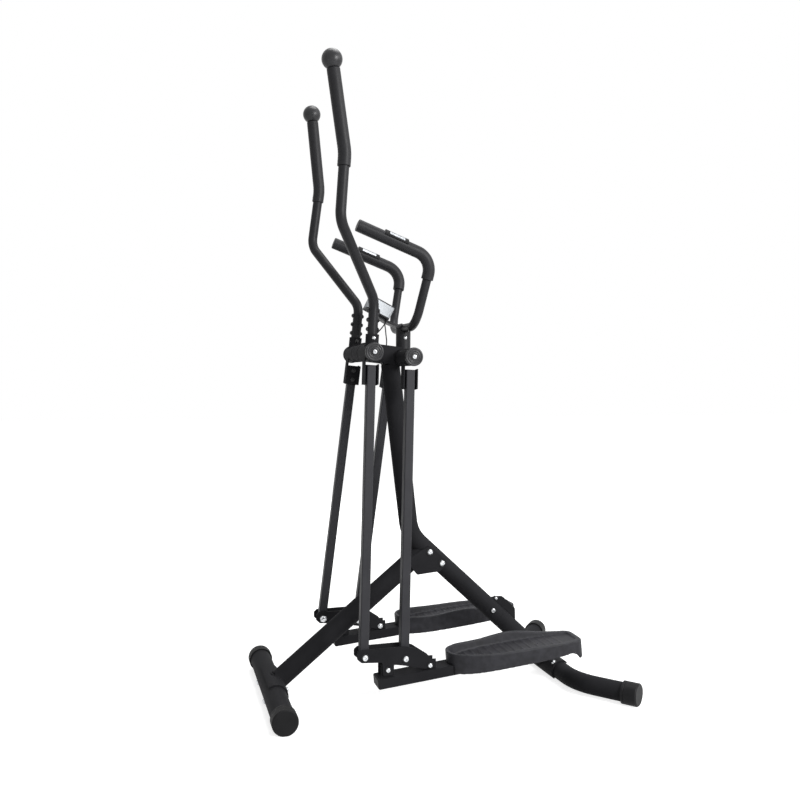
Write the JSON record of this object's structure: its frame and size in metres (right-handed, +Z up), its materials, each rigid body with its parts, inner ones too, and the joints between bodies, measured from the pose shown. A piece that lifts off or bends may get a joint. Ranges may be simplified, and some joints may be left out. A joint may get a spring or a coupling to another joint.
{
  "type": "elliptical trainer",
  "caption": "Elliptical glider on an A-shaped tube frame: hanging parallelogram legs with foot plates, moving handles, a fixed bar with foam grips and a small console.",
  "frame": {"origin": "on the floor, under the middle of the base's length and width", "axes": "+X to the rear where the rider stands, +Y to the rider's right, +Z up"},
  "size_m": [0.9179, 0.6213, 1.5547],
  "materials": {
    "frame_paint": "semi-matt black powder coat",
    "end_cap_plastic": "moulded black, light texture",
    "grip_foam": "closed-cell foam, matt black",
    "foot_plate_plastic": "moulded dark grey, grained",
    "axle_steel": "ground bar",
    "bolt_chrome": "bright plated",
    "bush_nylon": "turned black nylon",
    "pulse_steel": "polished sheet",
    "console_silver": "silver-grey moulding",
    "display_window": "smoked window over a grey liquid-crystal panel",
    "button_rubber": "soft silicone",
    "lead_jacket": "thin black cable jacket"
  },
  "bodies": {
    "frame": {"front_foot": "frame_paint", "front_foot_caps": "end_cap_plastic", "front_leg": "frame_paint", "main_post": "frame_paint", "rear_leg": "frame_paint", "splice_bracket": "frame_paint", "rear_foot": "frame_paint", "rear_foot_caps": "end_cap_plastic", "front_axle": "axle_steel", "rear_axle": "axle_steel", "axle_caps": "end_cap_plastic", "axle_bolts": "bolt_chrome", "frame_bolts": "bolt_chrome", "handlebar": "frame_paint", "left_bar_grip": "grip_foam", "right_bar_grip": "grip_foam", "pulse_sensors": "end_cap_plastic", "pulse_plates": "pulse_steel", "console_back": "end_cap_plastic", "console_body": "console_silver", "console_bezel": "end_cap_plastic", "console_display": "display_window", "console_strap": "end_cap_plastic", "pulse_lead": "lead_jacket", "stride_lead": "lead_jacket"},
    "console_button": {"console_button": "button_rubber"},
    "left_front_swing": {"left_front_hub": "frame_paint", "left_front_bushes": "bush_nylon", "left_handle": "frame_paint", "left_handle_grip": "grip_foam", "left_handle_ball": "end_cap_plastic", "left_front_arm": "frame_paint", "left_front_arm_bolts": "bolt_chrome"},
    "left_rear_swing": {"left_rear_hub": "frame_paint", "left_rear_bushes": "bush_nylon", "left_rear_arm": "frame_paint", "left_rear_arm_bolts": "bolt_chrome"},
    "left_pedal": {"left_link_plates": "frame_paint", "left_pedal_arm": "frame_paint", "left_pedal_arm_cap": "end_cap_plastic", "left_foot_plate": "foot_plate_plastic", "left_pedal_bolts": "bolt_chrome"},
    "right_front_swing": {"right_front_hub": "frame_paint", "right_front_bushes": "bush_nylon", "right_handle": "frame_paint", "right_handle_grip": "grip_foam", "right_handle_ball": "end_cap_plastic", "right_front_arm": "frame_paint", "right_front_arm_bolts": "bolt_chrome"},
    "right_rear_swing": {"right_rear_hub": "frame_paint", "right_rear_bushes": "bush_nylon", "right_rear_arm": "frame_paint", "right_rear_arm_bolts": "bolt_chrome"},
    "right_pedal": {"right_link_plates": "frame_paint", "right_pedal_arm": "frame_paint", "right_pedal_arm_cap": "end_cap_plastic", "right_foot_plate": "foot_plate_plastic", "right_pedal_bolts": "bolt_chrome"}
  },
  "joints": [
    {"name": "left_front_pivot", "type": "hinge", "parent": "frame", "child": "left_front_swing", "pos_m": [-0.19464, 0, 0.86841], "axis": [0, 1, 0], "range_deg": [-32.88, 27.12]},
    {"name": "left_rear_pivot", "type": "hinge", "parent": "frame", "child": "left_rear_swing", "pos_m": [-0.09463, 0, 0.85755], "axis": [0, 1, 0], "range_deg": [-32.88, 27.12]},
    {"name": "left_pedal_pivot", "type": "hinge", "parent": "left_front_swing", "child": "left_pedal", "pos_m": [-0.23103, 0, 0.14503], "axis": [0, 1, 0], "range_deg": [-27.12, 32.88]},
    {"name": "right_front_pivot", "type": "hinge", "parent": "frame", "child": "right_front_swing", "pos_m": [-0.19464, 0, 0.86841], "axis": [0, 1, 0], "range_deg": [-35.6, 24.4]},
    {"name": "right_rear_pivot", "type": "hinge", "parent": "frame", "child": "right_rear_swing", "pos_m": [-0.09463, 0, 0.85755], "axis": [0, 1, 0], "range_deg": [-35.6, 24.4]},
    {"name": "right_pedal_pivot", "type": "hinge", "parent": "right_front_swing", "child": "right_pedal", "pos_m": [-0.26532, 0, 0.14757], "axis": [0, 1, 0], "range_deg": [-24.4, 35.6]},
    {"name": "console_button_press", "type": "slide", "parent": "frame", "child": "console_button", "axis": [-0.454, 0, -0.891], "range_m": [0, 0.0012], "stiffness_N_per_m": 400, "springref_m": -0.001}
  ],
  "couplings": [
    {"joint": "left_rear_pivot", "follows": "left_front_pivot", "ratio": 1},
    {"joint": "left_pedal_pivot", "follows": "left_front_pivot", "ratio": -1},
    {"joint": "right_rear_pivot", "follows": "right_front_pivot", "ratio": 1},
    {"joint": "right_pedal_pivot", "follows": "right_front_pivot", "ratio": -1}
  ]
}
